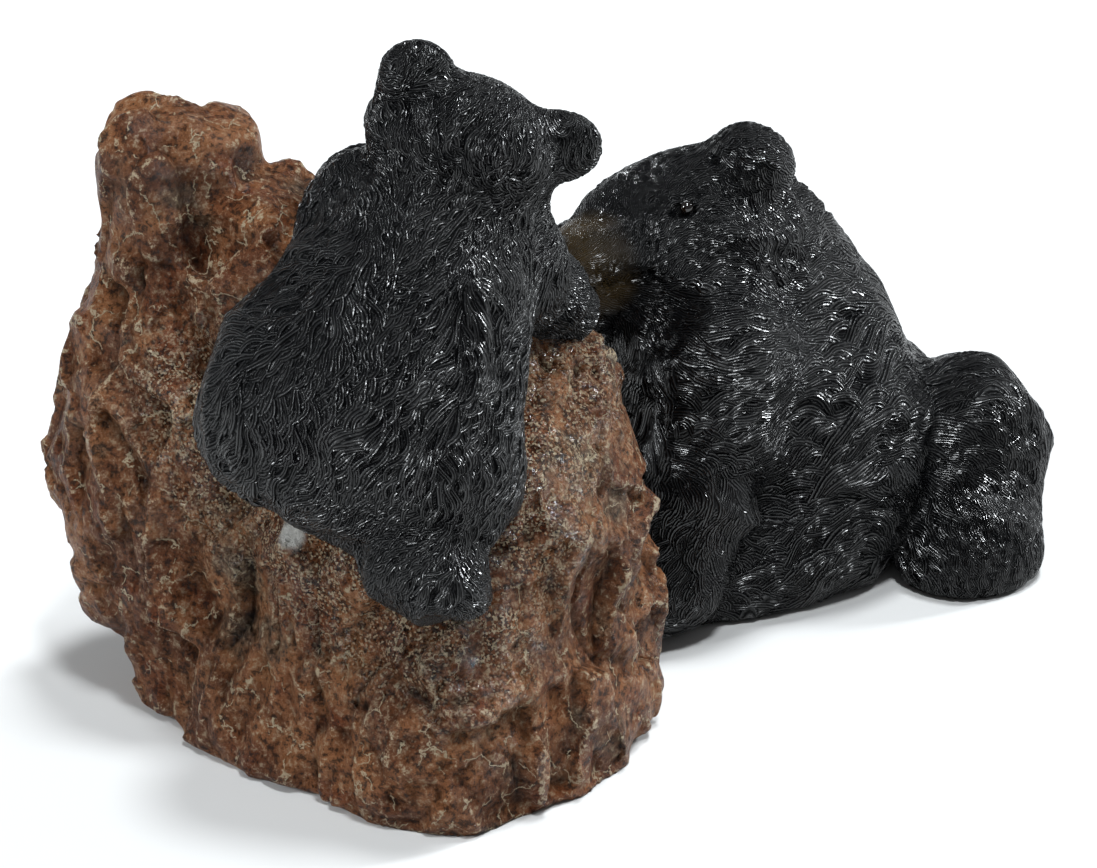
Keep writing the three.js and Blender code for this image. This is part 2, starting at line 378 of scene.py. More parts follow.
ROCK_FORM = faceted(boulder(), 58, 7)
MOTHER_FORM = furred(mother_bear(), (-0.9, 0.1, -0.42), 75, 34, 3)
CUB_FORM = furred(climbing_cub(), (0.5, 0.2, -0.8), 46, 22, 2.2)


# Laying a mesh of quads over a field


def net(field, low, high, cell):
    """One vertex in each cell that the surface crosses, one quad round each crossed edge."""
    axes = [np.arange(a, b + cell, cell) for a, b in zip(low, high)]
    grid = np.stack(np.meshgrid(*axes, indexing="ij"), -1)
    value = field(grid.reshape(-1, 3)).reshape(grid.shape[:3])
    inside = value < 0
    shape = np.array(inside.shape)
    total = np.zeros(shape)
    place = np.zeros((*shape, 3))
    crossed = []
    for axis in range(3):
        first = [slice(None)] * 3
        second = [slice(None)] * 3
        first[axis], second[axis] = slice(0, -1), slice(1, None)
        first, second = tuple(first), tuple(second)
        edge = np.argwhere(inside[first] != inside[second])
        a = value[first][tuple(edge.T)]
        b = value[second][tuple(edge.T)]
        point = grid[first][tuple(edge.T)]
        point[:, axis] += cell * a / (a - b)
        crossed.append((axis, edge, a < 0))
        others = [n for n in range(3) if n != axis]
        for back_a in (0, 1):
            for back_b in (0, 1):
                at = edge.copy()
                at[:, others[0]] -= back_a
                at[:, others[1]] -= back_b
                np.add.at(total, tuple(at.T), 1)
                np.add.at(place, tuple(at.T), point)
    used = np.argwhere(total > 0)
    number = np.full(shape, -1)
    number[tuple(used.T)] = np.arange(len(used))
    points = place[tuple(used.T)] / total[tuple(used.T)][:, None]
    quads = []
    for axis, edge, outwards in crossed:
        others = [(axis + 1) % 3, (axis + 2) % 3]
        corners = []
        for back_a, back_b in ((0, 0), (1, 0), (1, 1), (0, 1)):
            at = edge.copy()
            at[:, others[0]] -= back_a
            at[:, others[1]] -= back_b
            corners.append(number[tuple(at.T)])
        ring = np.stack(corners, -1)
        quads.append(np.where(outwards[:, None], ring, ring[:, ::-1]))
    return points, np.concatenate(quads)


def split(points, quads):
    """Each quad becomes four, with new points at the middles of its edges and of itself."""
    sides = np.stack([quads, np.roll(quads, -1, 1)], -1).reshape(-1, 2)
    pairs, which = np.unique(np.sort(sides, 1), axis=0, return_inverse=True)
    which = which.reshape(-1, 4) + len(points)
    centre = np.arange(len(quads)) + len(points) + len(pairs)
    more = np.concatenate([points, points[pairs].mean(1), points[quads].mean(1)])
    rings = [
        np.stack([quads[:, n], which[:, n], centre, which[:, n - 1]], -1) for n in range(4)
    ]
    return more, np.concatenate(rings)


def sides_of(quads):
    """Each edge of the mesh once, as a pair of points."""
    sides = np.stack([quads, np.roll(quads, -1, 1)], -1).reshape(-1, 2)
    return np.unique(np.sort(sides, 1), axis=0)


def neighbour_mean(values, pairs):
    """The mean of what a point's neighbours hold."""
    total = np.zeros_like(values)
    count = np.zeros(len(values))
    for here, there in ((0, 1), (1, 0)):
        np.add.at(total, pairs[:, here], values[pairs[:, there]])
        np.add.at(count, pairs[:, here], 1)
    return total / np.maximum(count, 1).reshape((-1,) + (1,) * (values.ndim - 1))


def slope_of(field, p, reach=0.4):
    d = field(p)
    steps = [field(p + reach * np.eye(3)[n]) - d for n in range(3)]
    return d, np.stack(steps, -1) / reach


def settle(points, field, rounds=2):
    """Moves points onto the field's surface, and gives the way that the surface faces."""
    for _ in range(rounds):
        d, slope = slope_of(field, points)
        points = points - (d / np.maximum((slope**2).sum(1), 0.2))[:, None] * slope
    return points, unit(slope_of(field, points)[1])


def laid_over(field, node, cell, margin=6):
    """A fine, even mesh over a field, in the model's frame, and the way each point faces."""
    low, high = (np.array(corner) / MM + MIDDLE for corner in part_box(node))
    low[2] = -1.5 * cell
    points, quads = net(field, low - [margin, margin, 0], high + margin, cell)
    pairs = sides_of(quads)
    for _ in range(2):
        points = 0.5 * points + 0.5 * neighbour_mean(points, pairs)
        points, _facing = settle(points, field, 1)
    points, quads = split(points, quads)
    points, facing = settle(points, field)
    return points, quads, facing


def rounded_convexity(points, facing, pairs, rounds):
    """How far each point stands out from its surroundings, in millimetres."""
    even = points
    for _ in range(rounds):
        even = neighbour_mean(even, pairs)
    return ((points - even) * facing).sum(1)


def facing_of(points, quads):
    """The way each point of a finished mesh faces."""
    a, b, c, d = (points[quads[:, n]] for n in range(4))
    face = np.cross(c - a, d - b)
    total = np.zeros_like(points)
    for n in range(4):
        np.add.at(total, quads[:, n], face)
    return unit(total)


def ball(at, radius, cuts=8):
    """A ball of quads, from a cube whose sides are cut up and pushed out."""
    steps = np.tan(np.linspace(-math.pi / 4, math.pi / 4, cuts + 1))
    u, v = np.meshgrid(steps, steps, indexing="ij")
    side = np.stack([u, v, np.ones_like(u)], -1).reshape(-1, 3)
    row = (np.arange(cuts)[:, None] * (cuts + 1) + np.arange(cuts)[None]).reshape(-1)
    quad = np.stack([row, row + cuts + 1, row + cuts + 2, row + 1], -1)
    points = []
    quads = []
    for turn in range(3):
        for sign in (-1, 1):
            face = np.roll(side * np.array([1, sign, sign]), turn, axis=1)
            quads.append(quad + len(side) * len(points))
            points.append(face)
    points = unit(np.concatenate(points))
    kept, which = np.unique(np.round(points, 6), axis=0, return_inverse=True)
    return at + radius * kept, which.reshape(-1)[np.concatenate(quads)]


# Fur


class Combing:
    """Which way the fur lies, and how long it is, from guides that are listed.
    A guide is a place, a direction, and the coat's length there as a share of a full lock."""

    def __init__(self, guides):
        self.places = np.array([place for place, _, _ in guides])
        self.ways = unit(np.array([way for _, way, _ in guides]))
        self.coats = np.array([coat for _, _, coat in guides])

    def at(self, p, facing):
        away = ((p[:, None, :] - self.places[None]) ** 2).sum(-1)
        share = 1 / (away + 150.0) ** 2
        share /= share.sum(1, keepdims=True)
        way = share @ self.ways
        way = way - (way * facing).sum(1, keepdims=True) * facing
        return unit(way), share @ self.coats


def guides_in(stand, rows, size=1.0):
    """Guides written in a figure's own frame, in the model's frame."""
    return [
        (stand.model(np.array(place) * size), np.array(way) @ stand.axes, coat)
        for place, way, coat in rows
    ]


def both_sides(rows, mid=0.0):
    mirrored = [
        ((x, 2 * mid - y, z), (dx, -dy, dz), coat) for (x, y, z), (dx, dy, dz), coat in rows
    ]
    return rows + mirrored


HEAD_COMB = both_sides(
    [
        ((92, 8, 0), (-1, 0.1, 0.3), 0.3),
        ((60, 22, -4), (-1, 0.3, 0.2), 0.32),
        ((50, 10, 24), (-1, 0.1, 0.3), 0.38),
        ((24, 14, 32), (-1, 0.1, 0.1), 0.42),
        ((30, 42, 0), (-1, 0.2, -0.1), 0.4),
        ((-20, 16, 40), (-1, 0.15, -0.1), 0.5),
        ((0, 50, -6), (-1, 0.2, -0.5), 0.62),
        ((10, 30, -42), (-0.9, 0.2, -0.6), 0.7),
        ((-30, 44, 48), (0.1, 0.3, 1), 0.4),
        ((-52, 20, 10), (-1, 0.1, -0.3), 0.7),
    ]
)
MOTHER_COMB = both_sides(
    [
        ((-112, -40, 216), (-0.8, 0.05, -0.5), 0.8),
        ((-150, -40, 186), (-0.7, 0.05, -0.7), 0.95),
        ((-186, -40, 140), (-0.5, 0.05, -0.9), 1.0),
        ((-226, -42, 80), (-0.2, 0, -1), 1.0),
        ((-70, 24, 150), (-1, 0.1, -0.15), 1.0),
        ((-40, 30, 100), (-0.75, 0.1, -0.65), 0.9),
        ((-120, 30, 140), (-1, 0, 0.05), 1.1),
        ((-90, 40, 90), (-1, 0, -0.25), 1.1),
        ((-160, 22, 110), (-0.7, 0, -0.75), 1.0),
        ((-80, 44, 30), (-0.9, 0.1, -0.3), 0.9),
        ((-135, 36, 40), (-0.6, 0.1, -0.8), 0.85),
        ((-200, 30, 106), (-0.85, 0.3, -0.3), 0.85),
        ((-225, 52, 84), (-0.7, 0.2, -0.7), 0.8),
        ((-244, 30, 50), (-0.2, 0.1, -1), 0.75),
        ((-190, 62, 72), (-0.7, 0.4, -0.6), 0.7),
        ((-175, 82, 34), (0.1, 0.6, -0.8), 0.5),
        ((-200, 86, 20), (-0.3, 0.5, -0.8), 0.5),
        ((-20, 48, 60), (-0.2, 0.1, -1), 0.75),
        ((10, 42, 36), (0.8, 0, -0.4), 0.6),
        ((50, 30, 30), (1, 0, -0.2), 0.42),
        ((0, -40, 120), (0.1, 0, -1), 1.0),
        ((-8, -42, 60), (0.1, 0, -1), 0.9),
    ],
    MOTHER_MIDPLANE,
)
CUB_COMB = [
    ((100, -8, 44), (-1, 0, 0), 0.7),
    ((100, 34, 26), (-1, 0.5, 0), 0.7),
    ((100, -54, 20), (-1, -0.3, -0.3), 0.75),
    ((56, 0, 50), (-1, 0.05, 0), 0.95),
    ((56, 50, 16), (-1, 0.5, 0), 0.95),
    ((56, -60, 10), (-1, -0.1, 0), 0.95),
    ((12, 0, 52), (-1, 0.1, 0), 1.1),
    ((12, 56, 18), (-0.8, 0.7, -0.2), 1.0),
    ((8, 76, -10), (-0.5, 0.8, -0.5), 0.9),
    ((-28, 40, 20), (-0.9, 0.1, -0.5), 0.9),
    ((-36, 6, 24), (-1, -0.1, -0.4), 0.8),
    ((0, -62, 20), (-1, 0.05, 0), 0.9),
    ((-34, -60, 18), (-1, -0.1, 0.1), 0.6),
    ((-62, -50, 30), (-0.9, 0.15, -0.5), 0.6),
    ((-70, -66, 8), (-0.4, -0.3, -1), 0.45),
    ((100, -60, -40), (-0.2, -0.7, -0.8), 0.6),
    ((92, -80, -62), (-0.2, -0.6, -0.8), 0.45),
    ((122, 30, -48), (0.3, 0, -1), 0.5),
    ((60, 0, -46), (-1, 0, 0), 0.7),
]


class Locks:
    """Wavy locks of fur laid over a mesh, each from its root to a pointed tip that
    stands a little over the roots of the next ones."""

    FULL = 2.8  # how many locks lie over a point on average
    BREADTH = 0.26  # of its length
    WAVE = 0.13  # how far a lock swings to each side, of its length

    def __init__(self, points, facing, combing, lock_length, spacing, seed):
        chance = np.random.default_rng(seed)
        way, coat = combing.at(points, facing)
        swirl = 1.4 * noise(points / lock_length + seed)
        across = np.cross(facing, way)
        self.way = unit(way + swirl[:, None] * across)
        self.coat = coat
        share = 1 / coat**2
        footprint = 0.55 * self.BREADTH * (lock_length * coat) ** 2
        count = int(self.FULL * (spacing**2 / footprint).sum())
        share = share / share.sum()
        self.roots = chance.choice(len(points), size=count, replace=True, p=share)
        self.size = lock_length * coat[self.roots] * chance.uniform(0.8, 1.2, count)
        bend = noise(points[self.roots] / (0.8 * lock_length) - seed)
        self.bend = np.clip(6 * bend, -1, 1) * chance.uniform(0.6, 1.2, count)
        self.phase = chance.uniform(-0.12, 0.12, count)
        self.lift = chance.uniform(-0.12, 0.12, count)
        self.points = points
        self.facing = facing
        self.height = np.full(len(points), -1.0)
        self.owner = np.zeros(len(points), int)
        tree = kdtree.KDTree(len(points))
        for n, place in enumerate(points.tolist()):
            tree.insert(place, n)
        tree.balance()
        for lock, root in enumerate(self.roots):
            found = tree.find_range(points[root], 0.6 * self.size[lock])
            near = np.array([n for _, n, _ in found])
            near = near[self.facing[near] @ self.facing[root] > 0.2]
            along, side = self.place_in(lock, points[near])
            width = self.BREADTH / 2 * self.size[lock] * (1.1 - 0.6 * along)
            over = np.maximum(np.abs(2 * along - 1) - 0.55, 0) / 0.45
            rise = 0.3 + 0.7 * soft_step(along, 0.05, 0.8)
            height = rise * (1 - (side / width) ** 2 - over**2) + self.lift[lock]
            higher = height > self.height[near]
            self.height[near[higher]] = height[higher]
            self.owner[near[higher]] = lock

    def place_in(self, lock, places):
        """How far along its lock each place is, from 0 to 1, and how far to the side of it."""
        root = self.roots[lock]
        size = self.size[lock]
        q = places - self.points[root]
        way = self.way[root]
        across = np.cross(self.facing[root], way)
        along = (q * way).sum(-1) / size + 0.5
        side = (q * across).sum(-1)
        turn = 2 * math.pi * (along + self.phase[lock])
        swing = self.WAVE * self.bend[lock] * size * np.sin(turn)
        return along, side - swing

    def relief(self):
        return np.clip(self.height, -0.25, 1.0) * np.sqrt(self.coat)

    def strands(self, quads, strand):
        """For each corner of each face, its place in its lock, counted in strands."""
        owner = self.owner[quads]
        face_owner = owner[np.arange(len(quads)), self.height[quads].argmax(1)]
        lock = np.repeat(face_owner, 4)
        along, side = self.place_in(lock, self.points[quads.reshape(-1)])
        coat = np.sqrt(self.size[lock] / self.size.max())
        u = along * self.size[lock] / (strand * 9.0) + lock * 0.37 % 51
        v = side / (strand * coat) + np.floor(lock * 1.73 % 97)
        return np.stack([u, v], -1)


# Broken rock

# A fleck of bare resin where the paint has chipped, and ribs low on the boulder's left end
FLECK_AT = np.array([237.0, 42.0, 136.0])
FLECK_REACH = (5.0, 8.0)
RIBS_AT = np.array([250.0, 24.0, 32.0])
RIBS_REACH = (30, 52)
RIB_SPACING = 9.0
RIB_DEPTH = 1.8

LATTICE = [(i, j, k) for i in (-1, 0, 1) for j in (-1, 0, 1) for k in (-1, 0, 1)]


def ledges(places, seed, sharpness):
    """Broken faces: round each point of a loose lattice the rock is one tilted plane, and a
    narrow step parts it from the next one."""
    warp = np.stack([noise(places * 1.3 + seed + 9.2 * n) for n in range(3)], -1)
    places = places + 0.16 * warp
    cell = np.floor(places)
    total = 0
    share = 0
    for near in LATTICE:
        at = (cell + near).T
        jitter = np.stack([corner_value(*(at + seed + 17.3 * n)) for n in range(3)], -1)
        tilt = np.stack([corner_value(*(at - seed + 5.1 * n)) for n in range(3)], -1)
        away = places - (at.T + 0.5 + 0.4 * jitter)
        weight = np.exp(-sharpness * (away**2).sum(-1))
        total = total + weight * (0.3 * jitter[:, 0] + (2.4 * tilt * away).sum(-1))
        share = share + weight
    return total / share


def rock_relief(points, look):
    """Broken faces in two sizes, crumbly grit between them, and ribs low on the left end."""
    crumbly_patch = 42
    grit, fine_grit = 5.2, 2.7
    gully_spacing, gully_depth = np.array([26, 26, 60]), 2.8
    broad = ledges(points / (look.facet / MM * np.array([1, 1, 1.7])), 1, 26)
    small = ledges(points / (look.chip / MM * np.array([1, 1, 1.6])), 2, 20)
    calm = soft_step(points[:, 2], 225, 265)
    near_cub = soft_step(-CUB_FORM(points), -14, -2)
    crumbly = soft_step(noise(points / crumbly_patch + 2.2), -0.35, 0.25) * (1 - calm)
    grains = noise(points / grit) + 0.8 * noise(points / fine_grit)
    gullies = soft_step(-np.abs(noise(points / gully_spacing + 4.4)), -0.12, 0.0)
    from_ribs = np.linalg.norm(points - RIBS_AT, axis=1)
    ribbed = soft_step(-from_ribs, -RIBS_REACH[1], -RIBS_REACH[0])
    ribs = np.sin((points[:, 0] + 0.9 * points[:, 1]) / RIB_SPACING * 4.6)
    relief = look.facet_height / MM * broad * (1 - 0.7 * near_cub)
    relief += look.chip_height / MM * (1 - 0.6 * calm) * small
    relief += (0.1 + 0.5 * crumbly) * grains
    relief -= gully_depth * gullies * crumbly * (1 - near_cub)
    return relief * (1 - 0.6 * ribbed) + RIB_DEPTH * ribbed * ribs


# Materials


def add(tree, kind, given=None):
    """Adds a node. Each thing given is one of the node's settings, or the value of one of its
    inputs, or another node's socket that feeds that input."""
    node = tree.nodes.new(kind)
    for name, value in (given or {}).items():
        if isinstance(value, bpy.types.NodeSocket):
            tree.links.new(value, node.inputs[name])
        elif isinstance(name, str) and hasattr(node, name):
            setattr(node, name, value)
        else:
            node.inputs[name].default_value = value
    return node


def new_material(name):
    material = bpy.data.materials.new(name)
    material.use_nodes = True
    material.node_tree.nodes.clear()
    return material, material.node_tree


def per(millimetres):
    """The scale of a pattern in which one feature is that broad."""
    return 1 / (millimetres * MM)


def rgba(colour_value):
    return (*colour_value, 1.0)


def resin_rock_paint(look):
    """Polyresin, cast, sprayed red-brown, glazed in the hollows and dry-brushed with cream.
    The eye sees a satin, earthy stone with pale rubbed edges, dark cracks and wet-looking grit,
    whose glitter is painted in as pale grains."""
    material, tree = new_material("polyresin_cast_rock_painted")
    place = add(tree, "ShaderNodeTexCoord").outputs["Object"]
    read = {
        label: add(tree, "ShaderNodeAttribute", {"attribute_name": label}).outputs["Fac"]
        for label in ("crest", "hollow", "glaze", "bare")
    }
    # Clouds: each with its breadth in millimetres, its detail and its roughness
    for label, breadth, detail, rough in (
        ("patches", 34, 4, 0.6),
        ("drifts", 26, 5, 0.6),
        ("stains", 48, 5, 0.6),
        ("crumb", 4.2, 9, 0.76),
        ("wash cloud", 7, 4, 0.6),
        ("line cloud", 11, 3, 0.6),
        ("glaze cloud", 14, 5, 0.6),
    ):
        read[label] = add(
            tree,
            "ShaderNodeTexNoise",
            {"Scale": per(breadth), "Detail": detail, "Roughness": rough, "Vector": place},
        ).outputs["Fac"]

    # Cream lines run where the bent cells of a pattern meet, like the rims of broken faces
    cell, bend, swing = 30, 16, 24
    bent = add(
        tree,
        "ShaderNodeTexNoise",
        {"Scale": per(bend), "Detail": 5.0, "Roughness": 0.6, "Vector": place},
    ).outputs["Color"]
    bent = add(
        tree,
        "ShaderNodeVectorMath",
        {"operation": "SCALE", "Scale": swing * MM, "Vector": bent},
    ).outputs[0]
    bent = add(tree, "ShaderNodeVectorMath", {"operation": "ADD", 0: place, 1: bent}).outputs[0]
    read["rims"] = add(
        tree,
        "ShaderNodeTexVoronoi",
        {"Scale": per(cell), "feature": "DISTANCE_TO_EDGE", "Vector": bent},
    ).outputs["Distance"]

    # Glitter in the glaze is too fine to show in the render, so it is painted in as grains a
    # millimetre broad: the pale grains are painted glints, and the dark grains are dark specks of
    # paint between them. The grit under it is more than two
    glitter, grit = 1.05, 2.4
    grains = add(tree, "ShaderNodeTexVoronoi", {"Scale": per(glitter), "Vector": place})
    grains = add(tree, "ShaderNodeSeparateColor", {"Color": grains.outputs["Color"]})
    read["grains"] = grains.outputs["Red"]
    grit_cells = add(tree, "ShaderNodeTexVoronoi", {"Scale": per(grit), "Vector": place})
    read["grit"] = grit_cells.outputs["Distance"]

    # Ranges: where each starts and ends, and what it gives there. Sums: two things read, or
    # one and a number
    first_ranges = (
        ("clay", "patches", 0.4, 0.62, 0, 1),
        ("orange", "drifts", 0.5, 0.68, 0, 0.75),
        ("grey", "stains", 0.56, 0.68, 0, 0.7),
        # Pits and crumbs follow the low and high points of the fine relief: the darker pits are
        # dark wash and painted shade, and the lighter crumbs are cream dry brush and painted
        # highlight
        ("pits", "crumb", 0.4, 0.51, 0.85, 0),
        ("crumbs", "crumb", 0.52, 0.64, 0, 0.5),
        ("brush gaps", "crumb", 0.46, 0.66, -1, 0.1),
        ("wash gaps", "wash cloud", 0.3, 0.6, 0.6, 1),
        ("lines", "rims", 0.004, 0.026, 1, 0),
        ("line gaps", "line cloud", 0.45, 0.58, 0, 1),
        ("glaze gaps", "glaze cloud", 0.36, 0.52, 0.15, 1),
        ("dark glitter", "grains", 0.2, 0.4, 0.7, 0),
        # Pale grains: painted glints that stand in for the glaze's glitter of light
        ("painted glint cells", "grains", 0.72, 0.86, 0, 0.75),
    )
    sums = (
        ("wash", "MULTIPLY", "hollow", "wash gaps"),
        ("veins", "MULTIPLY", "lines", "line gaps"),
        ("bold veins", "MULTIPLY", "veins", 0.95),
        ("brushing", "ADD", "crest", "brush gaps"),
        ("brushing", "MAXIMUM", "brushing", "bold veins"),
        ("wet", "MULTIPLY", "glaze", "glaze gaps"),
        ("dark grains", "MULTIPLY", "wet", "dark glitter"),
        # Painted glints, only where the glaze lies
        ("painted glints", "MULTIPLY", "wet", "painted glint cells"),
        ("wet grit", "MULTIPLY", "wet", 0.6),
        ("wet grit", "MULTIPLY", "grit", "wet grit"),
        ("low veins", "MULTIPLY", "veins", 0.3),
        ("fine relief", "ADD", "crumb", "wet grit"),
        ("fine relief", "ADD", "fine relief", "low veins"),
    )
    last_ranges = (
        ("brushed", "brushing", 0.25, 0.85, 0, 0.8),
        ("roughness", "wet", 0, 1, 0.36, 0.13),
        ("sheen", "wet", 0, 1, 0.28, 0.85),
    )
    limits = ("From Min", "From Max", "To Min", "To Max")
    for label, *given in first_ranges + sums + last_ranges:
        if len(given) == 3:
            operation, first, second = given
            read[label] = add(
                tree,
                "ShaderNodeMath",
                {"operation": operation, 0: read[first], 1: read.get(second, second)},
            ).outputs[0]
        else:
            settings = {"interpolation_type": "SMOOTHSTEP", "Value": read[given[0]]}
            settings.update(zip(limits, given[1:]))
            read[label] = add(tree, "ShaderNodeMapRange", settings).outputs["Result"]

    # Coats, from the first one sprayed to the last
    painted = rgba(look.base)
    for label, coat in (
        ("clay", look.clay),
        ("orange", look.orange),
        ("grey", look.grey),
        # Pits darkened and crumbs lightened: paint, with painted shade and painted highlight of
        # the fine relief
        ("pits", look.crevice),
        ("crumbs", look.cream),
        ("wash", look.crevice),
        ("brushed", look.cream),
        ("dark grains", look.crevice),
        # Painted glints: cream specks where the glaze would glitter
        ("painted glints", look.cream),
        ("bare", look.bare),
    ):
        painted = add(
            tree,
            "ShaderNodeMix",
            {"data_type": "RGBA", "Factor": read[label], 6: painted, 7: rgba(coat)},
        ).outputs[2]
    relief_height = 10
    bump = add(
        tree,
        "ShaderNodeBump",
        {"Strength": 1.0, "Distance": relief_height * MM, "Height": read["fine relief"]},
    ).outputs["Normal"]
    shader = add(
        tree,
        "ShaderNodeBsdfPrincipled",
        {
            "IOR": 1.5,
            "Base Color": painted,
            "Roughness": read["roughness"],
            "Specular IOR Level": read["sheen"],
            "Normal": bump,
        },
    )
    add(tree, "ShaderNodeOutputMaterial", {"Surface": shader.outputs[0]})
    return material


def resin_fur_paint(name, look):
    """Polyresin, cast, painted semi-gloss black over strands that were carved in the master.
    The eye sees near-black fur whose rounded strands each catch a thin cool highlight. The tops
    of the strands are also painted a cooler grey, partly wear and partly a painted highlight, and
    the grooves reflect less, a painted shade."""
    material, tree = new_material(name)
    place = add(tree, "ShaderNodeTexCoord").outputs["Object"]
    strands = add(tree, "ShaderNodeUVMap", {"uv_map": "strands"}).outputs["UV"]
    read = {
        label: add(tree, "ShaderNodeAttribute", {"attribute_name": label}).outputs["Fac"]
        for label in ("muzzle", "nose", "eye", "proud")
    }
    # A wave has 20 radians to a unit and the map counts strands, so this is a band to a strand
    read["lines"] = add(
        tree,
        "ShaderNodeTexWave",
        {
            "bands_direction": "Y",
            "Scale": math.pi / 10,
            "Distortion": 2.4,
            "Detail": 1.0,
            "Detail Scale": 0.9,
            "Vector": strands,
        },
    ).outputs["Fac"]
    read["uneven"] = add(
        tree,
        "ShaderNodeTexNoise",
        {"noise_dimensions": "2D", "Scale": 0.45, "Detail": 1.0, "Vector": strands},
    ).outputs["Fac"]
    gloss_patch = 22
    gloss = add(
        tree,
        "ShaderNodeTexNoise",
        {"Scale": per(gloss_patch), "Detail": 3.0, "Roughness": 0.6, "Vector": place},
    ).outputs["Fac"]
    read["gloss"] = add(
        tree,
        "ShaderNodeMapRange",
        {"From Min": 0.3, "From Max": 0.7, "To Min": 0.2, "To Max": 0.36, "Value": gloss},
    ).outputs["Result"]

    # Sums of two things read, or of one and a number
    for label, operation, first, second in (
        ("uneven", "ADD", "uneven", 0.2),
        ("ridge", "MULTIPLY", "lines", "uneven"),
        # The tops of the strands are lightened: partly wear, partly a painted highlight
        ("worn_and_highlight", "MINIMUM", "ridge", 1.0),
        ("bare", "MAXIMUM", "nose", "eye"),
        ("furred", "SUBTRACT", 1.0, "bare"),
        ("relief", "MULTIPLY", "ridge", "furred"),
        # lit: the reflection is full on raised locks and on the tops of the strands, and cut down
        # in the grooves between them, a painted shade in the grooves
        ("lit", "ADD", "proud", 0.35),
        ("lit", "MULTIPLY", "ridge", "lit"),
        ("lit", "MAXIMUM", "lit", "bare"),
        ("polish", "MULTIPLY", "eye", 0.75),
        ("polish", "SUBTRACT", 1.0, "polish"),
        ("roughness", "MULTIPLY", "gloss", "polish"),
    ):
        read[label] = add(
            tree,
            "ShaderNodeMath",
            {"operation": operation, 0: read.get(first, first), 1: read.get(second, second)},
        ).outputs[0]
    shine = add(
        tree,
        "ShaderNodeMapRange",
        {"From Min": 0.05, "From Max": 0.5, "To Min": 0.08, "To Max": 0.85, "Value": read["lit"]},
    ).outputs["Result"]

    # Coats, from the first one sprayed to the last
    painted = rgba(look.black)
    for label, coat in (
        # Greyer black on the strand tops: wear and a painted highlight
        ("worn_and_highlight", look.worn_and_highlight),
        # Muzzle: tan paint, darkened with painted shade
        ("muzzle", look.tan),
        ("nose", look.black),
        ("eye", look.eye),
    ):
        painted = add(
            tree,
            "ShaderNodeMix",
            {"data_type": "RGBA", "Factor": read[label], 6: painted, 7: rgba(coat)},
        ).outputs[2]
    strand_height = 2.2
    bump = add(
        tree,
        "ShaderNodeBump",
        {"Strength": 1.0, "Distance": strand_height * MM, "Height": read["relief"]},
    ).outputs["Normal"]
    shader = add(
        tree,
        "ShaderNodeBsdfPrincipled",
        {
            "IOR": 1.5,
            "Base Color": painted,
            "Roughness": read["roughness"],
            "Specular IOR Level": shine,
            "Normal": bump,
        },
    )
    add(tree, "ShaderNodeOutputMaterial", {"Surface": shader.outputs[0]})
    return material


def studio_floor(look):
    """Seamless paper, matt: the eye sees only an even pale ground and a soft shadow."""
    material, tree = new_material("paper_seamless_matt")
    shader = add(
        tree,
        "ShaderNodeBsdfPrincipled",
        {"Base Color": rgba(look.floor), "Roughness": 0.9, "Specular IOR Level": 0.1},
    )
    add(tree, "ShaderNodeOutputMaterial", {"Surface": shader.outputs[0]})
    return material


# Castings

# How deep each casting is laid under its solid's own surface, so that its relief has room, and
# how far a figure runs on, out of sight, into the one that it is bonded to
ROCK_DEPTH = 1.2
MOTHER_DEPTH = 0.8
CUB_DEPTH = 0.7
BOND = 3.0
MOTHER_RELIEF = 3.4
CUB_RELIEF = 2.4


def casting(node, points, quads, material, attributes, strands=None):
    """A finished mesh in metres, kept inside the box of the solid that it stands for."""
    name = node + "_casting"
    low, high = (np.array(corner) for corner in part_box(node))
    placed = np.clip((points - MIDDLE) * MM, low, high)
    corners = quads.reshape(-1)
    mesh = bpy.data.meshes.new(name)
    mesh.vertices.add(len(placed))
    mesh.vertices.foreach_set("co", placed.astype(np.float32).ravel())
    mesh.loops.add(len(corners))
    mesh.loops.foreach_set("vertex_index", corners.astype(np.int32))
    mesh.polygons.add(len(quads))
    mesh.polygons.foreach_set("loop_start", np.arange(0, len(corners), 4, dtype=np.int32))
    mesh.polygons.foreach_set("loop_total", np.full(len(quads), 4, np.int32))
    mesh.update(calc_edges=True)
    mesh.validate()
    for label, values in attributes.items():
        layer = mesh.attributes.new(label, "FLOAT", "POINT")
        layer.data.foreach_set("value", values.astype(np.float32))
    if strands is not None:
        layer = mesh.uv_layers.new(name="strands")
        layer.data.foreach_set("uv", strands.astype(np.float32).ravel())
    mesh.shade_smooth()
    mesh.materials.append(material)
    piece = bpy.data.objects.new(name, mesh)
    bpy.context.scene.collection.objects.link(piece)
    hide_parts(node)
    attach(piece, "root")
    return piece


def rock_casting(look):
    """The boulder, with what its paint is laid by: its crests, its hollows, the glaze that is
    thickest near the cub, and the bare fleck."""

    def field(p):
        return np.maximum(ROCK_FORM(p) + ROCK_DEPTH, -p[..., 2])

    points, quads, facing = laid_over(field, "rock", look.cell / MM)
    pairs = sides_of(quads)
    standing = soft_step(points[:, 2], 0.0, 6.0)
    points = points + (rock_relief(points, look) * standing)[:, None] * facing
    points[:, 2] = np.maximum(points[:, 2], 0.0)
    facing = facing_of(points, quads)
    fine = rounded_convexity(points, facing, pairs, 2)
    broad = rounded_convexity(points, facing, pairs, 10)
    from_fleck = np.linalg.norm(points - FLECK_AT, axis=1)
    attributes = {
        "crest": np.clip((fine - 0.12) / 0.45, 0, 1) + 0.3 * np.clip(broad / 2.5, 0, 1),
        "hollow": np.clip(-broad / 2.6 - 0.1, 0, 1),
        "glaze": soft_step(-CUB_FORM(points), -80, -10) * soft_step(-points[:, 2], -250, -180),
        "bare": soft_step(-from_fleck, -FLECK_REACH[1], -FLECK_REACH[0]),
    }
    casting("rock", points, quads, resin_rock_paint(look), attributes)


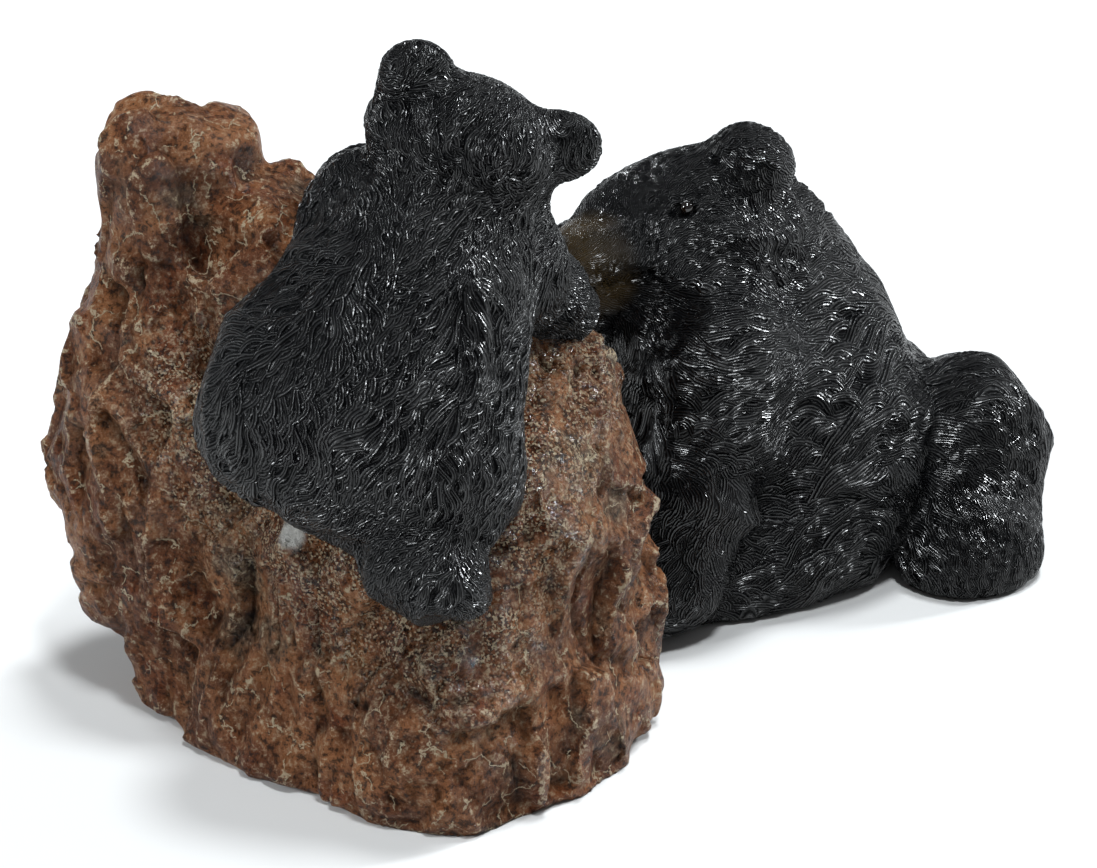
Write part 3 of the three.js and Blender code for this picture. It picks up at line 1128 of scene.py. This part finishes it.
def fur_casting(node, field, head, combing, cell, lock_length, relief, look, seed):
    """A bear, with locks of fur carved in it and its eyes set in its head."""
    points, quads, facing = laid_over(field, node, cell)
    locks = Locks(points, facing, combing, lock_length, cell / 2, seed)
    muzzle, nose = head.masks(points)
    lying = soft_step(points[:, 2], 0.0, 4.0) * (1 - nose) * (1 - 0.6 * muzzle)
    height = locks.relief() * lying
    strands = locks.strands(quads, look.strand / MM)
    eyes = head.eyeballs(field)
    points = points + (relief * (height - 0.35))[:, None] * facing
    points[:, 2] = np.maximum(points[:, 2], 0.0)
    proud = soft_step(height, -0.1, 0.7)
    attributes = {"muzzle": muzzle, "nose": nose, "eye": np.zeros(len(points)), "proud": proud}
    for eye_points, eye_quads in eyes:
        quads = np.concatenate([quads, eye_quads + len(points)])
        points = np.concatenate([points, eye_points])
        strands = np.concatenate([strands, np.zeros((4 * len(eye_quads), 2))])
        for label in attributes:
            paint = np.full(len(eye_points), float(label == "eye"))
            attributes[label] = np.concatenate([attributes[label], paint])
    paint = resin_fur_paint("polyresin_cast_fur_" + node, look)
    casting(node, points, quads, paint, attributes, strands)


# The studio

# Where the camera looks, in the forms' millimetres, which way it stands from there, and its
# lens in millimetres and distance in metres
CAMERA_LOOKS_AT = np.array([72.5, 23.0, 139.0])
CAMERA_BACK = (0.5198, 0.7424, 0.4226)
CAMERA_LENS = 170.65
CAMERA_DISTANCE = 2.6
SENSOR_WIDTH = 36.0
FAR_END = 100.0

# Each light: its name, how far it stands to the camera's right, above and behind, its breadth
# in degrees, and its share of the main light
LIGHTS = (
    ("key", 0.15, 1.0, 0.35, 12, 0.65),
    ("side", 1.0, 0.75, -0.3, 8, 0.8),
    ("front", 0.12, 0.7, 0.7, 9, 0.6),
    ("fill", -1.0, 0.35, 0.55, 14, 0.6),
)
COOL_LIGHT = (0.93, 0.97, 1.0)
SKY = (0.95, 0.97, 1.0)
SKY_STRENGTH = 0.2
FLOOR_REACH = 40.0


def lay_floor(scene, look):
    reach = FLOOR_REACH
    mesh = bpy.data.meshes.new("floor")
    corners = [(x * reach, y * reach, 0.0) for x, y in ((-1, -1), (1, -1), (1, 1), (-1, 1))]
    mesh.from_pydata(corners, [], [(0, 1, 2, 3)])
    mesh.materials.append(studio_floor(look))
    floor = bpy.data.objects.new("floor", mesh)
    scene.collection.objects.link(floor)


def set_sky(scene):
    world = bpy.data.worlds.new("studio")
    world.use_nodes = True
    background = world.node_tree.nodes["Background"]
    background.inputs["Color"].default_value = rgba(SKY)
    background.inputs["Strength"].default_value = SKY_STRENGTH
    scene.world = world
    scene.view_settings.view_transform = "Standard"


def set_camera(scene):
    back = Vector(CAMERA_BACK).normalized()
    lens = bpy.data.cameras.new("camera")
    lens.sensor_width = SENSOR_WIDTH
    lens.lens = CAMERA_LENS
    lens.clip_end = FAR_END
    camera = bpy.data.objects.new("camera", lens)
    camera.location = Vector(CAMERA_LOOKS_AT - MIDDLE) * MM + back * CAMERA_DISTANCE
    camera.rotation_mode = "QUATERNION"
    camera.rotation_quaternion = (-back).to_track_quat("-Z", "Y")
    scene.collection.objects.link(camera)
    scene.camera = camera


def set_lights(scene, look):
    back = Vector(CAMERA_BACK).normalized()
    right = Vector((0.0, 0.0, 1.0)).cross(back).normalized()
    up = back.cross(right)
    for label, aside, above, behind, breadth, share in LIGHTS:
        lamp = bpy.data.lights.new(label, "SUN")
        lamp.angle = math.radians(breadth)
        lamp.energy = look.light * share
        lamp.color = COOL_LIGHT
        light = bpy.data.objects.new(label, lamp)
        way = right * aside + up * above + back * behind
        light.rotation_mode = "QUATERNION"
        light.rotation_quaternion = way.to_track_quat("Z", "Y")
        scene.collection.objects.link(light)


# Operators


class STATUE_OT_rock(bpy.types.Operator):
    """Carves and paints the boulder"""

    bl_idname = "statue.rock"
    bl_label = "Boulder"

    def execute(self, context):
        rock_casting(context.scene.statue_rock)
        return {"FINISHED"}


class STATUE_OT_mother(bpy.types.Operator):
    """Casts the mother bear with her carved fur"""

    bl_idname = "statue.mother"
    bl_label = "Mother bear"

    def execute(self, context):
        look = context.scene.statue_fur

        def field(p):
            body = MOTHER_HEAD.features(MOTHER_FORM)(p) + MOTHER_DEPTH
            room = np.maximum(-(ROCK_FORM(p) + BOND), -(CUB_FORM(p) + BOND))
            return np.maximum(np.maximum(body, room), -p[..., 2])

        fur_casting(
            node="mother_bear",
            field=field,
            head=MOTHER_HEAD,
            combing=Combing(
                MOTHER_COMB + guides_in(MOTHER_HEAD.stand, HEAD_COMB, MOTHER_HEAD.scale)
            ),
            cell=look.mother_cell / MM,
            lock_length=look.mother_lock / MM,
            relief=MOTHER_RELIEF,
            look=look,
            seed=3,
        )
        return {"FINISHED"}


class STATUE_OT_cub(bpy.types.Operator):
    """Casts the cub with its carved fur"""

    bl_idname = "statue.cub"
    bl_label = "Cub"

    def execute(self, context):
        look = context.scene.statue_fur

        def field(p):
            body = CUB_HEAD.features(CUB_FORM)(p) + CUB_DEPTH
            return np.maximum(body, -(ROCK_FORM(p) + BOND))

        fur_casting(
            node="cub",
            field=field,
            head=CUB_HEAD,
            combing=Combing(
                guides_in(CUB_BODY, CUB_COMB)
                + guides_in(CUB_HEAD.stand, HEAD_COMB, CUB_HEAD.scale)
            ),
            cell=look.cub_cell / MM,
            lock_length=look.cub_lock / MM,
            relief=CUB_RELIEF,
            look=look,
            seed=5,
        )
        return {"FINISHED"}


class STATUE_OT_stage(bpy.types.Operator):
    """Sets the pale floor, the soft lights and the camera"""

    bl_idname = "statue.stage"
    bl_label = "Studio"

    def execute(self, context):
        scene = context.scene
        look = scene.statue_stage
        lay_floor(scene, look)
        set_sky(scene)
        set_camera(scene)
        set_lights(scene, look)
        return {"FINISHED"}


class STATUE_PT_sidebar(bpy.types.Panel):
    """The statue's pieces, sizes and colours"""

    bl_label = "Bear garden statue"
    bl_space_type = "VIEW_3D"
    bl_region_type = "UI"
    bl_category = "Statue"

    def draw(self, context):
        groups = (
            (context.scene.statue_rock, ("statue.rock",)),
            (context.scene.statue_fur, ("statue.mother", "statue.cub")),
            (context.scene.statue_stage, ("statue.stage",)),
        )
        for group, operators in groups:
            box = self.layout.box()
            for operator in operators:
                box.operator(operator)
            for name in group.__annotations__:
                box.prop(group, name)


GROUPS = {"statue_rock": StatueRock, "statue_fur": StatueFur, "statue_stage": StatueStage}
CLASSES = (
    *GROUPS.values(),
    STATUE_OT_rock,
    STATUE_OT_mother,
    STATUE_OT_cub,
    STATUE_OT_stage,
    STATUE_PT_sidebar,
)


def register():
    for made in CLASSES:
        bpy.utils.register_class(made)
    for name, group in GROUPS.items():
        setattr(bpy.types.Scene, name, bpy.props.PointerProperty(type=group))


def unregister():
    for name in GROUPS:
        delattr(bpy.types.Scene, name)
    for made in reversed(CLASSES):
        bpy.utils.unregister_class(made)


def main():
    register()
    bpy.ops.statue.stage()
    bpy.ops.statue.rock()
    bpy.ops.statue.mother()
    bpy.ops.statue.cub()


if __name__ == "__main__":
    main()
